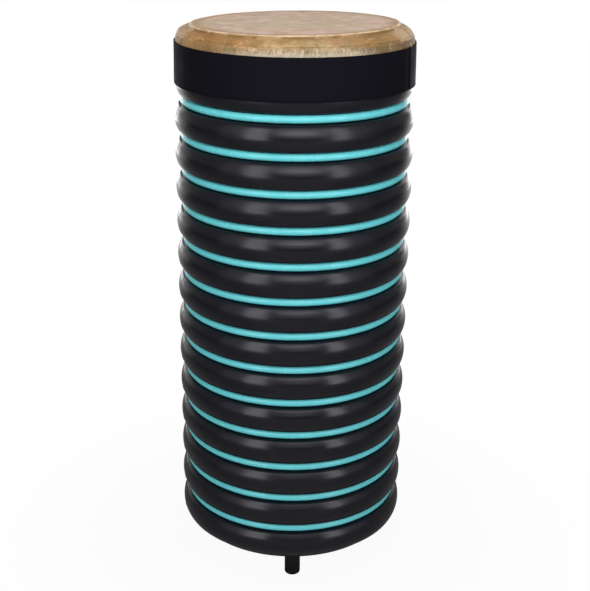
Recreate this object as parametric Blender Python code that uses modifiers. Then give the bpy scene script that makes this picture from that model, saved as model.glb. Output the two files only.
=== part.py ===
"""Tall hand drum on a length of twin-wall corrugated pipe, with a coloured cord in each valley.

Metres, +Z up. The origin is on the floor under the middle of the drum, and the front leg is at -Y.
The pipe is two walls: a ribbed outer one, and a smooth liner that closes the hollow ribs. A skin is
drawn over the pipe's top edge and its first rib, lashed in the next valley, and covered by a strap.
"""
import math

import bmesh
import bpy
from mathutils import Matrix

# Whole object
ROUND_STEPS = 28                # flats around every large turned piece, all in the same phase
CLEARANCE = 0.0003              # gap between pieces that touch

# Pipe
RIB_COUNT = 15
RIB_PITCH = 0.0371              # from one rib to the next
RIB_RADIUS = 0.125              # over the ribs
TOP_RIB_SKIM = 0.0034           # the rib under the skin is skimmed down by this to take it
SECOND_RIB_SKIM = 0.0016        # and the rib below, which the strap covers in part, by this
RIB_ROUNDING = 0.0145           # half axis of the rib's elliptical section, measured outwards
OUTER_WALL = 0.0012
LINER_WALL = 0.0012
HOLLOW_HALF_WIDTH = 0.0093      # half the width of a rib's hollow, near its crown
CUT_BELOW_VALLEY = 0.0026       # the pipe's lower cut, below the middle of a valley
CUT_ABOVE_VALLEY = 0.0004       # its upper cut, above the middle of a valley
BEARING_EDGE_STEP = 0.0026      # the liner stands this far above the outer wall at the top

# Cords in the valleys
CORD_RADIUS = 0.0039
CORD_INSET = 0.0057             # from the ribs' radius in to the cord's outside
CORD_SIDE_GAP = 0.0003          # between the cord and the valley's sides
CORD_SIDES = 6
VALLEY_DRAFT = 0.0013           # how much wider each side of the valley is at its mouth

# Head
SKIN_THICKNESS = 0.0008
LASHING_RADIUS = 0.0026
BAND_HEIGHT = 0.042
BAND_THICKNESS = 0.0012
BAND_BELOW_HEAD = 0.0166        # from the playing face down to the band's upper edge
BAND_SEAM_STEP = 5              # flats from the front leg to the band's outer end, towards +X
BAND_LAP_STEPS = 1              # flats over which the band's two ends overlap

# Legs
LEG_ANGLES = {"front": -90.0, "right": 30.0, "left": 150.0}
LEG_RADIUS = 0.0085
LEG_STICK_OUT = 0.0261          # from the floor up to the pipe's lower edge
LEG_ABOVE_SCREW = 0.012         # from the upper screw to the leg's top
LEG_EDGE = 0.001                # chamfer around the leg's top
TIP_HEIGHT = 0.014
TIP_EDGE = 0.0022               # rounding around the tip's foot
SPIGOT_RADIUS = 0.006
SPIGOT_LENGTH = 0.009
LEG_STEPS = 16

# Leg screws
SCREW_VALLEYS = {"lower": 1, "upper": 2}
SCREW_HEAD_RADIUS = 0.0037
SCREW_HEAD_HEIGHT = 0.0009
SCREW_SHANK_RADIUS = 0.002
SCREW_BITE = 0.011              # how deep the screw goes into the leg
SCREW_STEPS = 12
CUTTER_MARGIN = 0.001           # how far a cutter runs past the wall that it cuts

# Worked out from the sizes above
HALF_PITCH = RIB_PITCH / 2
CORD_CENTRE = RIB_RADIUS - CORD_INSET - CORD_RADIUS
VALLEY_RADIUS = CORD_CENTRE - CORD_RADIUS - CLEARANCE
VALLEY_HALF_WIDTH = CORD_RADIUS + CORD_SIDE_GAP
OUTER_WALL_INSIDE = VALLEY_RADIUS - OUTER_WALL
LINER_OUTSIDE = OUTER_WALL_INSIDE - CLEARANCE
LINER_INSIDE = LINER_OUTSIDE - LINER_WALL
PIPE_BOTTOM = LEG_STICK_OUT
PIPE_TOP = PIPE_BOTTOM + CUT_BELOW_VALLEY + RIB_COUNT * RIB_PITCH + CUT_ABOVE_VALLEY
OUTER_WALL_TOP = PIPE_TOP - BEARING_EDGE_STEP
HEAD_TOP = PIPE_TOP + CLEARANCE + SKIN_THICKNESS
LASHING_VALLEY = RIB_COUNT - 1
CORD_VALLEYS = range(1, LASHING_VALLEY)

# Where a rib's elliptical section has points, in degrees round it from its crown
RIB_FLANK_ANGLE = 26.7
TOP_RIB_SHOULDER_ANGLES = (53.0, 41.0)


def valley_z(number):
    """Height of a valley's middle; valley 0 is where the pipe is cut off at the bottom."""
    return PIPE_BOTTOM + CUT_BELOW_VALLEY + number * RIB_PITCH


def crown_z(rib):
    return valley_z(rib) + HALF_PITCH


def crown_radius(rib):
    skims = {RIB_COUNT - 1: TOP_RIB_SKIM, RIB_COUNT - 2: SECOND_RIB_SKIM}
    return RIB_RADIUS - skims.get(rib, 0.0)


def station_at(angle):
    """Share of the way from a rib's crown, 0, to the valley's middle, 1, at an angle in degrees."""
    return math.sin(math.radians(angle))


def rib_radius(rib, station):
    """Radius of a rib's elliptical section at a station between its crown and the valley's middle."""
    return crown_radius(rib) - RIB_ROUNDING * (1 - math.sqrt(1 - station ** 2))


def facet_radius(radius, angle):
    """Distance from the axis to a turned face's flats in the direction of an angle in degrees."""
    step = 360 / ROUND_STEPS
    off_middle = angle % step - step / 2
    return radius * math.cos(math.pi / ROUND_STEPS) / math.cos(math.radians(off_middle))


def remove_everything():
    for thing in list(bpy.data.objects):
        bpy.data.objects.remove(thing, do_unlink=True)
    for group in list(bpy.data.collections):
        bpy.data.collections.remove(group)


def make_collection(name):
    group = bpy.data.collections.new(name)
    bpy.context.scene.collection.children.link(group)
    return group


def make_material(name, colour, roughness, metallic=0.0):
    material = bpy.data.materials.new(name)
    material.use_nodes = True
    shader = material.node_tree.nodes["Principled BSDF"]
    shader.inputs["Base Color"].default_value = (*colour, 1.0)
    shader.inputs["Roughness"].default_value = roughness
    shader.inputs["Metallic"].default_value = metallic
    material.diffuse_color = (*colour, 1.0)
    return material


def add_object(name, mesh, group, material=None):
    thing = bpy.data.objects.new(name, mesh)
    group.objects.link(thing)
    if material is not None:
        mesh.materials.append(material)
    return thing


def profile_mesh(name, points, closed):
    """Edges in the XZ plane through (radius, height) points, down the outer side first."""
    mesh = bpy.data.meshes.new(name)
    edges = [(i, i + 1) for i in range(len(points) - 1)]
    if closed:
        edges.append((len(points) - 1, 0))
    mesh.from_pydata([(radius, 0.0, height) for radius, height in points], edges, [])
    return mesh


def add_turned(name, points, group, material, steps=ROUND_STEPS, closed=True):
    """Turn a profile about Z. An open profile starts and ends on the axis."""
    thing = add_object(name, profile_mesh(name, points, closed), group, material)
    screw = thing.modifiers.new("turned", "SCREW")
    screw.axis = "Z"
    screw.angle = math.tau
    screw.steps = steps
    screw.render_steps = steps
    screw.use_merge_vertices = True
    screw.merge_threshold = 0.00001
    screw.use_smooth_shade = True
    return thing


def cut_with(thing, cutter):
    cut = thing.modifiers.new("cut by " + cutter.name, "BOOLEAN")
    cut.operation = "DIFFERENCE"
    cut.solver = "EXACT"
    cut.object = cutter


def rib_half(rib, side):
    """Points of half a rib's outer section, from its valley's edge to near its crown."""
    valley_edge = 1 - (VALLEY_HALF_WIDTH + VALLEY_DRAFT) / HALF_PITCH
    stations = (valley_edge, station_at(RIB_FLANK_ANGLE))
    return [(rib_radius(rib, s), crown_z(rib) + side * s * HALF_PITCH) for s in stations]


def top_rib_half():
    """Points of the top rib's upper side, which the pipe's upper cut ends."""
    rib = RIB_COUNT - 1
    cut_edge = (OUTER_WALL_TOP - crown_z(rib)) / HALF_PITCH
    angles = (*TOP_RIB_SHOULDER_ANGLES, RIB_FLANK_ANGLE)
    stations = [cut_edge] + [station_at(angle) for angle in angles]
    return [(rib_radius(rib, s), crown_z(rib) + s * HALF_PITCH) for s in stations]


def valley_floor(number):
    return [(VALLEY_RADIUS, valley_z(number) + VALLEY_HALF_WIDTH),
            (VALLEY_RADIUS, valley_z(number) - VALLEY_HALF_WIDTH)]


def outer_wall_outside(lowest_rib=0):
    """The ribbed wall's outer side, from the top down to a rib."""
    points = top_rib_half()
    for rib in reversed(range(lowest_rib, RIB_COUNT)):
        if rib < RIB_COUNT - 1:
            points += rib_half(rib, 1)
        points.append((crown_radius(rib), crown_z(rib)))
        points += reversed(rib_half(rib, -1))
        if rib > 0:
            points += valley_floor(rib)
    return points


def outer_wall_inside():
    """The ribbed wall's inner side, from the bottom up, with each rib's hollow."""
    foot_half = HALF_PITCH - VALLEY_HALF_WIDTH - OUTER_WALL
    points = [(OUTER_WALL_INSIDE, PIPE_BOTTOM)]
    for rib in range(RIB_COUNT):
        roof = rib_radius(rib, HOLLOW_HALF_WIDTH / HALF_PITCH) - OUTER_WALL
        points += [(OUTER_WALL_INSIDE, crown_z(rib) - foot_half),
                   (roof, crown_z(rib) - HOLLOW_HALF_WIDTH),
                   (roof, crown_z(rib) + HOLLOW_HALF_WIDTH),
                   (OUTER_WALL_INSIDE, crown_z(rib) + foot_half)]
    points.append((OUTER_WALL_INSIDE, OUTER_WALL_TOP))
    return points


def add_pipe(group, material):
    foot = [(VALLEY_RADIUS, valley_z(0) + VALLEY_HALF_WIDTH), (VALLEY_RADIUS, PIPE_BOTTOM)]
    outer = add_turned("shell_outer_wall", outer_wall_outside() + foot + outer_wall_inside(),
                       group, material)
    liner = add_turned("shell_inner_liner",
                       [(LINER_OUTSIDE, PIPE_TOP), (LINER_OUTSIDE, PIPE_BOTTOM),
                        (LINER_INSIDE, PIPE_BOTTOM), (LINER_INSIDE, PIPE_TOP)], group, material)
    return outer, liner


def circle_section(centre_radius, height, radius, sides):
    """Points round a cord's section, down its outer side first."""
    turns = [-math.tau * i / sides for i in range(sides)]
    return [(centre_radius + radius * math.cos(t), height + radius * math.sin(t)) for t in turns]


def add_cords(group, material):
    for count, valley in enumerate(reversed(CORD_VALLEYS), start=1):
        section = circle_section(CORD_CENTRE, valley_z(valley), CORD_RADIUS, CORD_SIDES)
        add_turned(f"colour_cord_{count:02d}", section, group, material)


def offset_line(points, distance):
    """Move a (radius, height) line that runs outwards and down away from the pipe by a distance."""
    normals = []
    for (r0, z0), (r1, z1) in zip(points, points[1:]):
        length = math.hypot(r1 - r0, z1 - z0)
        normals.append((-(z1 - z0) / length, (r1 - r0) / length))
    moved = []
    for i, (r, z) in enumerate(points):
        before, after = normals[max(i - 1, 0)], normals[min(i, len(normals) - 1)]
        mid = (before[0] + after[0], before[1] + after[1])
        scale = distance / (1 + before[0] * after[0] + before[1] * after[1])
        moved.append((r + mid[0] * scale, z + mid[1] * scale))
    return moved


def skin_seat():
    """The line over the pipe that the skin lies on, from the liner's bore to its lashed end."""
    last_rib = LASHING_VALLEY - 1
    seat = [(LINER_INSIDE, PIPE_TOP), (LINER_OUTSIDE, PIPE_TOP)]
    seat += outer_wall_outside(lowest_rib=LASHING_VALLEY)
    seat.append(rib_half(last_rib, 1)[0])
    return seat


def add_head_skin(group, material):
    inside = offset_line(skin_seat(), CLEARANCE)
    outside = offset_line(skin_seat(), CLEARANCE + SKIN_THICKNESS)
    middle = [(0.0, HEAD_TOP), (LINER_INSIDE / 2, HEAD_TOP)]
    under = [(LINER_INSIDE / 2, PIPE_TOP + CLEARANCE), (0.0, PIPE_TOP + CLEARANCE)]
    add_turned("head_skin", middle + outside + inside[::-1] + under, group, material, closed=False)


def add_lashing(group, material):
    centre = VALLEY_RADIUS + 2 * CLEARANCE + SKIN_THICKNESS + LASHING_RADIUS
    section = circle_section(centre, valley_z(LASHING_VALLEY), LASHING_RADIUS, CORD_SIDES)
    add_turned("head_lashing_cord", section, group, material)


def band_inside(height):
    """Radius of the band's inner face: clear of the skin at the top rib, and of the rib below it."""
    top_rib, next_rib = RIB_COUNT - 1, RIB_COUNT - 2
    at_top = crown_radius(top_rib) + 2 * CLEARANCE + SKIN_THICKNESS
    at_next = crown_radius(next_rib) + CLEARANCE
    share = (crown_z(top_rib) - height) / (crown_z(top_rib) - crown_z(next_rib))
    return at_top + share * (at_next - at_top)


def add_band(group, material):
    """A strap once round the head, its outer end lapped over its inner end."""
    top = HEAD_TOP - BAND_BELOW_HEAD
    bottom = top - BAND_HEIGHT
    lift = BAND_THICKNESS + CLEARANCE
    mesh = bpy.data.meshes.new("head_band")
    work = bmesh.new()
    previous = None
    for i in range(ROUND_STEPS + BAND_LAP_STEPS + 1):
        angle = math.radians(-90) + math.tau * (BAND_SEAM_STEP + i) / ROUND_STEPS
        raised = lift if i <= BAND_LAP_STEPS else 0.0
        corners = [(band_inside(top) + BAND_THICKNESS, top), (band_inside(bottom) + BAND_THICKNESS, bottom),
                   (band_inside(bottom), bottom), (band_inside(top), top)]
        ring = [work.verts.new(((r + raised) * math.cos(angle), (r + raised) * math.sin(angle), z))
                for r, z in corners]
        if previous is None:
            work.faces.new(ring)
        else:
            for a in range(4):
                b = (a + 1) % 4
                work.faces.new((previous[a], previous[b], ring[b], ring[a]))
        previous = ring
    work.faces.new(previous[::-1])
    bmesh.ops.recalc_face_normals(work, faces=work.faces)
    work.to_mesh(mesh)
    work.free()
    add_object("head_band", mesh, group, material)


def leg_centre(angle):
    return facet_radius(LINER_INSIDE, angle) - CLEARANCE - LEG_RADIUS


def leg_profile():
    """A round leg with a spigot below, which the rubber tip fits over."""
    top = valley_z(max(SCREW_VALLEYS.values())) + LEG_ABOVE_SCREW
    shoulder = TIP_HEIGHT + CLEARANCE
    return [(0.0, top), (LEG_RADIUS - LEG_EDGE, top), (LEG_RADIUS, top - LEG_EDGE), (LEG_RADIUS, shoulder),
            (SPIGOT_RADIUS, shoulder), (SPIGOT_RADIUS, shoulder - SPIGOT_LENGTH),
            (0.0, shoulder - SPIGOT_LENGTH)]


def tip_profile():
    """A rubber cup with a rounded foot, open above for the leg's spigot."""
    bore = SPIGOT_RADIUS + CLEARANCE
    bore_floor = TIP_HEIGHT - SPIGOT_LENGTH
    edge = [(LEG_RADIUS - TIP_EDGE * (1 - math.cos(t)), TIP_EDGE * (1 - math.sin(t)))
            for t in (0.0, math.radians(45), math.radians(90))]
    cup = [(0.0, bore_floor), (bore, bore_floor), (bore, TIP_HEIGHT), (LEG_RADIUS, TIP_HEIGHT)]
    return cup + edge + [(0.0, 0.0)]


def screw_profile():
    """A flat-headed screw standing on Z, its head's outer face at the origin."""
    head_back = -SCREW_HEAD_HEIGHT
    end = head_back - CLEARANCE - LINER_WALL - CLEARANCE - SCREW_BITE
    point = end + SCREW_SHANK_RADIUS
    return [(0.0, 0.0), (SCREW_HEAD_RADIUS, 0.0), (SCREW_HEAD_RADIUS, head_back),
            (SCREW_SHANK_RADIUS, head_back), (SCREW_SHANK_RADIUS, point), (0.0, end)]


def outward_at(angle, radius, height):
    """A placing that turns local +Z to point outwards at an angle round the drum."""
    turn = Matrix.Rotation(math.radians(angle), 4, "Z") @ Matrix.Rotation(math.radians(90), 4, "Y")
    radial = math.radians(angle)
    return Matrix.Translation((radius * math.cos(radial), radius * math.sin(radial), height)) @ turn


def add_hole_cutter(name, radius, inner, outer, group):
    """Round plugs at every leg screw, from an inner to an outer radius, as one cutter."""
    mesh = bpy.data.meshes.new(name)
    work = bmesh.new()
    for angle in LEG_ANGLES.values():
        start, end = facet_radius(inner, angle), facet_radius(outer, angle)
        for valley in SCREW_VALLEYS.values():
            place = outward_at(angle, (start + end) / 2, valley_z(valley))
            bmesh.ops.create_cone(work, cap_ends=True, segments=SCREW_STEPS, radius1=radius,
                                  radius2=radius, depth=end - start, matrix=place)
    work.to_mesh(mesh)
    work.free()
    cutter = add_object(name, mesh, group)
    cutter.hide_render = True
    cutter.display_type = "WIRE"
    return cutter


def add_legs(group, leg_material, tip_material):
    legs = []
    for side, angle in LEG_ANGLES.items():
        x = leg_centre(angle) * math.cos(math.radians(angle))
        y = leg_centre(angle) * math.sin(math.radians(angle))
        leg = add_turned(f"leg_{side}", leg_profile(), group, leg_material, LEG_STEPS, closed=False)
        tip = add_turned(f"leg_tip_{side}", tip_profile(), group, tip_material, LEG_STEPS, closed=False)
        leg.location = tip.location = (x, y, 0.0)
        legs.append(leg)
    return legs


def add_screws(group, material):
    head_face = OUTER_WALL_INSIDE + SCREW_HEAD_HEIGHT
    for side, angle in LEG_ANGLES.items():
        for level, valley in SCREW_VALLEYS.items():
            name = f"leg_screw_{side}_{level}"
            screw = add_turned(name, screw_profile(), group, material, SCREW_STEPS, closed=False)
            screw.matrix_world = outward_at(angle, facet_radius(head_face, angle), valley_z(valley))


def build():
    remove_everything()
    group = make_collection("pipe_drum")
    cutters = make_collection("cutters")
    pipe_black = make_material("black pipe", (0.014, 0.014, 0.017), 0.36)
    cord_teal = make_material("turquoise cord", (0.03, 0.52, 0.6), 0.3)
    hide = make_material("goat skin", (0.5, 0.34, 0.2), 0.6)
    band_black = make_material("black band", (0.008, 0.008, 0.012), 0.75)
    lashing = make_material("lashing cord", (0.55, 0.5, 0.42), 0.8)
    leg_black = make_material("black leg", (0.015, 0.015, 0.017), 0.45)
    rubber = make_material("black rubber", (0.01, 0.01, 0.011), 0.7)
    steel = make_material("zinc-plated steel", (0.6, 0.6, 0.62), 0.35, 1.0)

    outer, liner = add_pipe(group, pipe_black)
    add_cords(group, cord_teal)
    add_head_skin(group, hide)
    add_lashing(group, lashing)
    add_band(group, band_black)
    legs = add_legs(group, leg_black, rubber)
    add_screws(group, steel)

    head_holes = add_hole_cutter("screw_head_holes", SCREW_HEAD_RADIUS + CLEARANCE,
                                 OUTER_WALL_INSIDE - CUTTER_MARGIN, VALLEY_RADIUS + CUTTER_MARGIN, cutters)
    deepest = LINER_INSIDE - CLEARANCE - SCREW_BITE - CLEARANCE
    shank_holes = add_hole_cutter("screw_shank_holes", SCREW_SHANK_RADIUS + CLEARANCE,
                                  deepest, LINER_OUTSIDE + CUTTER_MARGIN, cutters)
    cut_with(outer, head_holes)
    cut_with(liner, shank_holes)
    for leg in legs:
        cut_with(leg, shank_holes)


build()
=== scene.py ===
"""Looks of a tall hand drum: goat skin head on a ribbed black pipe, with a turquoise cord in each valley.

Metres, +Z up, the front leg at -Y. Angles round the drum are in degrees from the front leg, towards +X.
"""
import math
import random

import bmesh
import bpy
from mathutils import Matrix, Vector, noise


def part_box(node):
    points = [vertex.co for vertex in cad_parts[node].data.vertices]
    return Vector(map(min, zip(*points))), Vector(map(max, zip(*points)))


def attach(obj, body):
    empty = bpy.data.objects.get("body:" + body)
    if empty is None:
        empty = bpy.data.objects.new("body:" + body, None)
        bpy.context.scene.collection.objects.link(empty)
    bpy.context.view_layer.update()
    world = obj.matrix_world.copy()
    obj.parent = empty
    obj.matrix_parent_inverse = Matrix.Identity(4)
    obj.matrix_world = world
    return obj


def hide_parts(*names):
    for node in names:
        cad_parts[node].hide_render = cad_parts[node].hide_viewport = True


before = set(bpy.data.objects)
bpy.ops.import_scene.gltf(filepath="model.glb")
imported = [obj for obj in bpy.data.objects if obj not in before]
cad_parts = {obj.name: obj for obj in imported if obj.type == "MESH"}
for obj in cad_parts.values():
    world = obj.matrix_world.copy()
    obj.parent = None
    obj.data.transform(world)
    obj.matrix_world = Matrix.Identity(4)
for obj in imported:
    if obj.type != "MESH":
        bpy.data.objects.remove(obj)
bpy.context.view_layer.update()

# Camera, as fitted to the cord stripes, the rib outlines and the head's rim
CAMERA_DISTANCE = 1.21241       # level, from the drum's axis
CAMERA_HEIGHT = 0.73797
CAMERA_AZIMUTH = -1.24
CAMERA_TILT_DOWN = 0.35370      # radians, as the two below
CAMERA_PAN = 0.00204
CAMERA_ROLL = 0.00979
CAMERA_LENS = 71.08
SENSOR = 36.0                   # along the picture's height

# Pipe, from the frame, and the sizes that its solids don't give directly
SHELL_LOW, SHELL_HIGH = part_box("shell_outer_wall")
LINER_LOW, LINER_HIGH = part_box("shell_inner_liner")
CORD_COUNT = 13
CORD_RADIUS = 0.0039
CORD_BOXES = [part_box(f"colour_cord_{n:02d}") for n in range(1, CORD_COUNT + 1)]
CORD_HEIGHTS = [(low[2] + high[2]) / 2 for low, high in CORD_BOXES]
CORD_CENTRE = CORD_BOXES[0][1][0] - CORD_RADIUS
CORD_SWELL = 0.0001             # the seen cord's radius over the plain solid's
CLEARANCE = 0.0003
RIB_COUNT = CORD_COUNT + 2
RIB_PITCH = (CORD_HEIGHTS[0] - CORD_HEIGHTS[-1]) / (CORD_COUNT - 1)
HALF_PITCH = RIB_PITCH / 2
RIB_RADIUS = SHELL_HIGH[0]
RIB_ROUNDING = 0.0145           # half axis of the rib's elliptical section, measured outwards
RIB_SKIMS = {RIB_COUNT - 1: 0.0034, RIB_COUNT - 2: 0.0016}      # how much lower the two top ribs are
WALL = 0.0012                   # of both pipe walls
VALLEY_RADIUS = CORD_CENTRE - CORD_RADIUS - CLEARANCE
VALLEY_HALF_WIDTH = CORD_RADIUS + CLEARANCE
VALLEY_DRAFT = 0.0013           # how much wider each side of the valley is at its mouth
MOUTH_SOFTNESS = 0.0008         # how far from a corner its rounding starts
FLOOR_SOFTNESS = 0.0005         # the same at the valley's floor
RIB_SHARE = 0.92                # of a rib's side that keeps its own curve, before the softened edge
EDGE_SHARE = 0.9                # where the softened edge's straight side points from
HOLLOW_HALF_WIDTH = 0.0093
OUTER_WALL_INSIDE = VALLEY_RADIUS - WALL
LINER_OUTSIDE = LINER_HIGH[0]
LINER_INSIDE = LINER_OUTSIDE - WALL
# The pipe's end is kept clear of the uneven skin over it
HIDDEN_RIB_SQUASH = 0.88        # of the top rib's upper half
LINER_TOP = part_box("head_skin")[1][2] - 0.0044
OUTER_WALL_TOP = LINER_TOP + 0.0002
PIPE_UNEVENNESS = 0.00007
LINER_LIP = 0.0003
LINER_RIPPLE = 0.00012
MOULD_SEAMS = (102.0, 282.0)    # where the two halves of the pipe's mould met
SEAM_HALF_WIDTH = 0.28          # degrees
SEAM_HEIGHT = 0.00022

# How finely the pieces are made
ROUND_STEPS = 224
RIB_STEPS = 22
LINER_STEPS = 180
CORD_SIDES = 18
LEG_STEPS = 56
TIP_STEPS = 6

# Cords: the butted ends at the back, and how far a cord strays in its valley
CORD_SEED = 3
JOINT_SPREAD = 9.0              # degrees either way
JOINT_HALF_GAP = 0.0004
JOINT_SQUEEZE = 0.07            # share by which a cord is thinner at its cut ends
CORD_DRIFT = 0.00012

# Head
HEAD_RISE = 0.0004              # the seen skin and the band's upper edge over their solids
HEAD_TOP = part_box("head_skin")[1][2] + HEAD_RISE
SKIN_THICKNESS = 0.0008
BAND_LOW, BAND_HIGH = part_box("head_band")
BAND_THICKNESS = 0.0012
LASHING_RADIUS = 0.0026
GROOVE_DEPTH = 0.0081           # below the playing face
# The skin's outer line from the flat face to the band: radius, depth below the playing face
SKIN_SHOULDER = ((0.1040, 0.0), (0.1064, 0.0), (0.1081, 0.0), (0.1088, 0.0002), (0.1093, 0.0007),
                 (0.1099, 0.0016), (0.1106, 0.0024), (0.1117, 0.0029), (0.1132, 0.0033), (0.1148, 0.0038),
                 (0.1162, 0.0044), (0.1176, 0.0053), (0.1188, 0.0063), (0.1197, 0.0073), (0.1200, 0.0081),
                 (0.1206, 0.0090), (0.1212, 0.0102), (0.1218, 0.0117), (0.1222, 0.0135), (0.1225, 0.0153),
                 (0.1227, 0.0172), (0.1228, 0.0190))
SHOULDER_SPANS = 3              # points on each of the line's spans
COLLAR_TURNS = (16, 27, 38)     # degrees below the top rib's crown at which the skin follows it
COLLAR_EDGE_TURN = 50           # where it turns into the valley
SKIN_END_RADIUS = 0.1196        # of its end, under the band
FACE_RINGS = 24
CREST_RADIUS = SKIN_SHOULDER[3][0]
# The playing face isn't quite true: its rise at the middle, more to the front and to +X, how much
# smaller its rim is, and its shift to +X
FACE_RISE, FRONT_RISE, SIDE_RISE = 0.0007, 0.0007, 0.0014
FACE_NARROWING, FACE_SHIFT = 0.0016, -0.0004
# Unevenness of the dried skin: reach, waves round the drum and waves down the shoulder
SKIN_WAVES = ((0.00035, 5.0, 120.0), (0.00012, 22.0, 300.0))
RIM_SAG = 0.0002
FACE_UNEVENNESS = 0.00012

# Hair left on the skin by the band
HAIR_SEED = 7
HAIR_ZONE = (0.0092, 0.0172)    # depths below the playing face
HAIR_COUNT = 2900
HAIR_CLUMPS = 70
CLUMP_MIDDLES = (3.0, 180.0)    # angles round the drum about which the clumps gather
CLUMPS_SPREAD = 24.0            # of the clumps, and below of the hairs in one, in degrees
HAIRS_SPREAD = 2.2
STRAY_EVERY = 16                # every so many hairs one grows anywhere
HAIR_LENGTHS = (0.0014, 0.0036)
HAIR_WIDTHS = (0.00006, 0.00013)
HAIR_BEND = 0.55                # share of the length at which a hair bends

# Band, and its lap in degrees round the drum
BAND_ROWS = 12
BAND_EDGE = 0.00035             # of the rounding along both edges
BAND_WAVE = 0.00012
BAND_SLIMMING = 0.0001          # which leaves room for the dents' outward side
BAND_OUTER_END = 65.8
BAND_INNER_END = 76.8
LAP_THINNING = 0.42             # share by which both ends are pared down where they lap
BAND_SETTLE = 7.0               # over which the outer layer comes back down past the inner end
LAP_GAP = 0.00008               # between the two layers

# Legs
LEG_SIDES = {"front": 0.0, "right": 120.0, "left": 240.0}
LEG_RADIUS = 0.0085
LEG_CHAMFER = 0.0008
SHOULDER_CHAMFER = 0.0003
TIP_EDGE = 0.0024
TIP_LIP = 0.0005
SPIGOT_RADIUS = 0.006
SPIGOT_LENGTH = 0.009
SCREW_SHANK_RADIUS = 0.002
SCREW_HEAD_RADIUS = 0.0037
SCREW_REACH = 0.0125            # of the holes in the legs, inwards from the liner
DRILL_REACH = 0.001             # how far a hole's cutter passes a wall


def around(angle, radius, height):
    """The point at an angle round the drum, a radius and a height."""
    turn = math.radians(angle)
    return Vector((radius * math.sin(turn), -radius * math.cos(turn), height))


def smoothstep(low, high, value):
    """0 below the low value, 1 above the high one, and eased between them."""
    share = min(max((value - low) / (high - low), 0.0), 1.0)
    return share * share * (3 - 2 * share)


def through(points, spans):
    """Points on a smooth curve through the given ones."""
    ends = [points[0], *points, points[-1]]
    made = []
    for p0, p1, p2, p3 in zip(ends, ends[1:], ends[2:], ends[3:]):
        for step in range(spans):
            t = step / spans
            made.append(tuple(0.5 * (2 * b + (c - a) * t + (2 * a - 5 * b + 4 * c - d) * t * t
                                     + (3 * b - a - 3 * c + d) * t ** 3)
                              for a, b, c, d in zip(p0, p1, p2, p3)))
    made.append(points[-1])
    return made


def soft_corner(before, corner, after, reach, steps=4):
    """Points that round a corner off, starting and ending a reach away from it."""
    start = [c + (b - c) * reach / math.dist(before, corner) for b, c in zip(before, corner)]
    end = [c + (a - c) * reach / math.dist(after, corner) for a, c in zip(after, corner)]
    made = []
    for step in range(steps + 1):
        t = step / steps
        made.append(tuple((1 - t) ** 2 * s + 2 * t * (1 - t) * c + t * t * e
                          for s, c, e in zip(start, corner, end)))
    return made


def offset_line(points, distance):
    """Move a (radius, height) line that runs outwards and down by a distance to its outer side."""
    normals = []
    for (r0, z0), (r1, z1) in zip(points, points[1:]):
        length = math.hypot(r1 - r0, z1 - z0)
        normals.append((-(z1 - z0) / length, (r1 - r0) / length))
    moved = []
    for i, (r, z) in enumerate(points):
        before, after = normals[max(i - 1, 0)], normals[min(i, len(normals) - 1)]
        mid = (before[0] + after[0], before[1] + after[1])
        scale = distance / (1 + before[0] * after[0] + before[1] * after[1])
        moved.append((r + mid[0] * scale, z + mid[1] * scale))
    return moved


def add_mesh(name, verts, faces, material, sharp=40.0):
    """A smooth-shaded piece; edges that bend by more than the sharp angle stay crisp."""
    mesh = bpy.data.meshes.new(name)
    mesh.from_pydata(verts, [], faces)
    mesh.validate()
    mesh.shade_smooth()
    mesh.set_sharp_from_angle(angle=math.radians(sharp))
    mesh.materials.append(material)
    piece = bpy.data.objects.new(name, mesh)
    bpy.context.scene.collection.objects.link(piece)
    return piece


def turned(name, profile, material, angles=None, closed=True, shape=None, sharp=40.0):
    """Turn a (radius, height) profile round the drum's axis, down its outer side first.

    A shape function may move a point: it takes the angle, radius, height and the point's number.
    """
    angles = angles or [360.0 * i / ROUND_STEPS for i in range(ROUND_STEPS)]
    verts, rings = [], []
    for number, (radius, height) in enumerate(profile):
        if radius < 1e-9:
            rings.append([len(verts)] * len(angles))
            verts.append((0.0, 0.0, height))
            continue
        rings.append(range(len(verts), len(verts) + len(angles)))
        for angle in angles:
            r, z = shape(angle, radius, height, number) if shape else (radius, height)
            verts.append(around(angle, r, z))
    pairs = list(zip(rings, rings[1:]))
    if closed:
        pairs.append((rings[-1], rings[0]))
    faces = []
    for upper, lower in pairs:
        for i in range(len(angles)):
            j = (i + 1) % len(angles)
            corners = [upper[i], lower[i], lower[j], upper[j]]
            face = [c for n, c in enumerate(corners) if c not in corners[:n]]
            if len(face) > 2:
                faces.append(face)
    return add_mesh(name, verts, faces, material, sharp)


def stands_for(piece, node):
    """Put a piece on the drum's one body, in place of a node's solid."""
    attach(piece, "root")
    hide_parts(node)


# Materials

def tone(red, green, blue):
    """A colour given as 0 to 255 in sRGB, as the shader's linear values."""
    linear = [((c / 255 + 0.055) / 1.055) ** 2.4 if c > 10 else c / 255 / 12.92 for c in (red, green, blue)]
    return (*linear, 1.0)


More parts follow.
